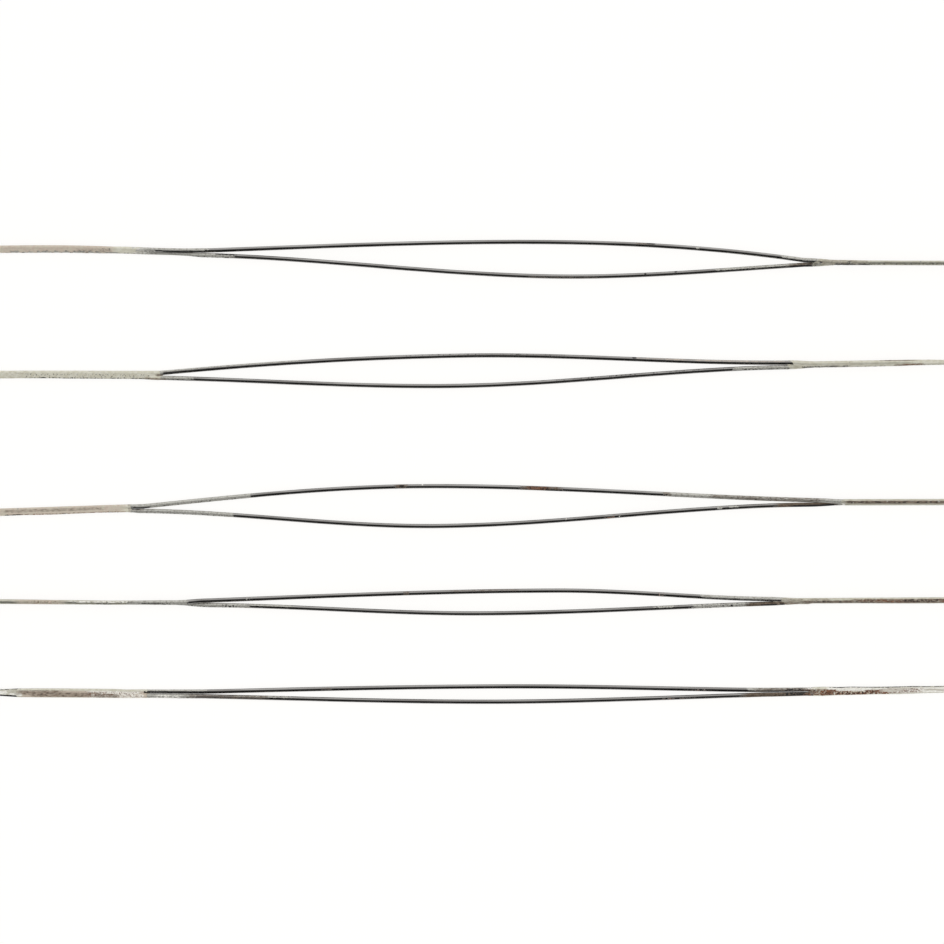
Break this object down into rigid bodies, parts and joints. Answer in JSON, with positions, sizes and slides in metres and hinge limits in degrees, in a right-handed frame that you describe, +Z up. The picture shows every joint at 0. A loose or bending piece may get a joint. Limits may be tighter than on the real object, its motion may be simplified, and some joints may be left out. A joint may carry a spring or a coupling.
{
  "type": "beading needle",
  "caption": "Set of beading needles with long eyes: two thin steel wires, soldered and ground to a point at both ends, that bow apart between.",
  "frame": {"origin": "on the table, under the middle of the space that the set takes", "axes": "+X along the needles towards their right tails, +Y across the set towards needle_1, +Z up from the table"},
  "size_m": [0.0574, 0.0252, 0.0005],
  "materials": {
    "wire_steel": "smooth drawn steel wire with a fine polish, a few nicks and spots of rust",
    "solder": "dull pale solder with small pits, bright where it is ground to a point"
  },
  "bodies": {
    "needle_3": {"needle_3_left_point": "solder", "needle_3_right_point": "solder", "needle_3_upper_left_end": "wire_steel", "needle_3_upper_right_end": "wire_steel", "needle_3_lower_left_end": "wire_steel", "needle_3_lower_right_end": "wire_steel"},
    "needle_3_upper": {"needle_3_upper_left_bow": "wire_steel", "needle_3_upper_right_bow": "wire_steel"},
    "needle_3_lower": {"needle_3_lower_left_bow": "wire_steel", "needle_3_lower_right_bow": "wire_steel"},
    "needle_1": {"needle_1_left_point": "solder", "needle_1_right_point": "solder", "needle_1_upper_left_end": "wire_steel", "needle_1_upper_right_end": "wire_steel", "needle_1_lower_left_end": "wire_steel", "needle_1_lower_right_end": "wire_steel"},
    "needle_1_upper": {"needle_1_upper_left_bow": "wire_steel", "needle_1_upper_right_bow": "wire_steel"},
    "needle_1_lower": {"needle_1_lower_left_bow": "wire_steel", "needle_1_lower_right_bow": "wire_steel"},
    "needle_2": {"needle_2_left_point": "solder", "needle_2_right_point": "solder", "needle_2_upper_left_end": "wire_steel", "needle_2_upper_right_end": "wire_steel", "needle_2_lower_left_end": "wire_steel", "needle_2_lower_right_end": "wire_steel"},
    "needle_2_upper": {"needle_2_upper_left_bow": "wire_steel", "needle_2_upper_right_bow": "wire_steel"},
    "needle_2_lower": {"needle_2_lower_left_bow": "wire_steel", "needle_2_lower_right_bow": "wire_steel"},
    "needle_4": {"needle_4_left_point": "solder", "needle_4_right_point": "solder", "needle_4_upper_left_end": "wire_steel", "needle_4_upper_right_end": "wire_steel", "needle_4_lower_left_end": "wire_steel", "needle_4_lower_right_end": "wire_steel"},
    "needle_4_upper": {"needle_4_upper_left_bow": "wire_steel", "needle_4_upper_right_bow": "wire_steel"},
    "needle_4_lower": {"needle_4_lower_left_bow": "wire_steel", "needle_4_lower_right_bow": "wire_steel"},
    "needle_5": {"needle_5_left_point": "solder", "needle_5_right_point": "solder", "needle_5_upper_left_end": "wire_steel", "needle_5_upper_right_end": "wire_steel", "needle_5_lower_left_end": "wire_steel", "needle_5_lower_right_end": "wire_steel"},
    "needle_5_upper": {"needle_5_upper_left_bow": "wire_steel", "needle_5_upper_right_bow": "wire_steel"},
    "needle_5_lower": {"needle_5_lower_left_bow": "wire_steel", "needle_5_lower_right_bow": "wire_steel"}
  },
  "joints": [
    {"name": "needle_1_lift", "type": "slide", "parent": "needle_3", "child": "needle_1", "axis": [0, 0, 1], "range_m": [0, 0.02]},
    {"name": "needle_2_lift", "type": "slide", "parent": "needle_3", "child": "needle_2", "axis": [0, 0, 1], "range_m": [0, 0.02]},
    {"name": "needle_4_lift", "type": "slide", "parent": "needle_3", "child": "needle_4", "axis": [0, 0, 1], "range_m": [0, 0.02]},
    {"name": "needle_5_lift", "type": "slide", "parent": "needle_3", "child": "needle_5", "axis": [0, 0, 1], "range_m": [0, 0.02]},
    {"name": "needle_1_upper_bow", "type": "slide", "parent": "needle_1", "child": "needle_1_upper", "axis": [0, 1, 0], "range_m": [-0.00074, 0.00124], "stiffness_N_per_m": 150, "deforming": ["needle_1_upper_left_bow", "needle_1_upper_right_bow"]},
    {"name": "needle_1_lower_bow", "type": "slide", "parent": "needle_1", "child": "needle_1_lower", "axis": [0, -1, 0], "range_m": [-0.00083, 0.00115], "stiffness_N_per_m": 150, "deforming": ["needle_1_lower_left_bow", "needle_1_lower_right_bow"]},
    {"name": "needle_2_upper_bow", "type": "slide", "parent": "needle_2", "child": "needle_2_upper", "axis": [0, 1, 0], "range_m": [-0.00066, 0.00132], "stiffness_N_per_m": 150, "deforming": ["needle_2_upper_left_bow", "needle_2_upper_right_bow"]},
    {"name": "needle_2_lower_bow", "type": "slide", "parent": "needle_2", "child": "needle_2_lower", "axis": [0, -1, 0], "range_m": [-0.00069, 0.00129], "stiffness_N_per_m": 150, "deforming": ["needle_2_lower_left_bow", "needle_2_lower_right_bow"]},
    {"name": "needle_3_upper_bow", "type": "slide", "parent": "needle_3", "child": "needle_3_upper", "axis": [0, 1, 0], "range_m": [-0.00093, 0.00105], "stiffness_N_per_m": 150, "deforming": ["needle_3_upper_left_bow", "needle_3_upper_right_bow"]},
    {"name": "needle_3_lower_bow", "type": "slide", "parent": "needle_3", "child": "needle_3_lower", "axis": [0, -1, 0], "range_m": [-0.00095, 0.00103], "stiffness_N_per_m": 150, "deforming": ["needle_3_lower_left_bow", "needle_3_lower_right_bow"]},
    {"name": "needle_4_upper_bow", "type": "slide", "parent": "needle_4", "child": "needle_4_upper", "axis": [0, 1, 0], "range_m": [-0.00047, 0.00151], "stiffness_N_per_m": 150, "deforming": ["needle_4_upper_left_bow", "needle_4_upper_right_bow"]},
    {"name": "needle_4_lower_bow", "type": "slide", "parent": "needle_4", "child": "needle_4_lower", "axis": [0, -1, 0], "range_m": [-0.00047, 0.00151], "stiffness_N_per_m": 150, "deforming": ["needle_4_lower_left_bow", "needle_4_lower_right_bow"]},
    {"name": "needle_5_upper_bow", "type": "slide", "parent": "needle_5", "child": "needle_5_upper", "axis": [0, 1, 0], "range_m": [-0.00022, 0.00176], "stiffness_N_per_m": 150, "deforming": ["needle_5_upper_left_bow", "needle_5_upper_right_bow"]},
    {"name": "needle_5_lower_bow", "type": "slide", "parent": "needle_5", "child": "needle_5_lower", "axis": [0, -1, 0], "range_m": [-0.00032, 0.00165], "stiffness_N_per_m": 150, "deforming": ["needle_5_lower_left_bow", "needle_5_lower_right_bow"]}
  ]
}
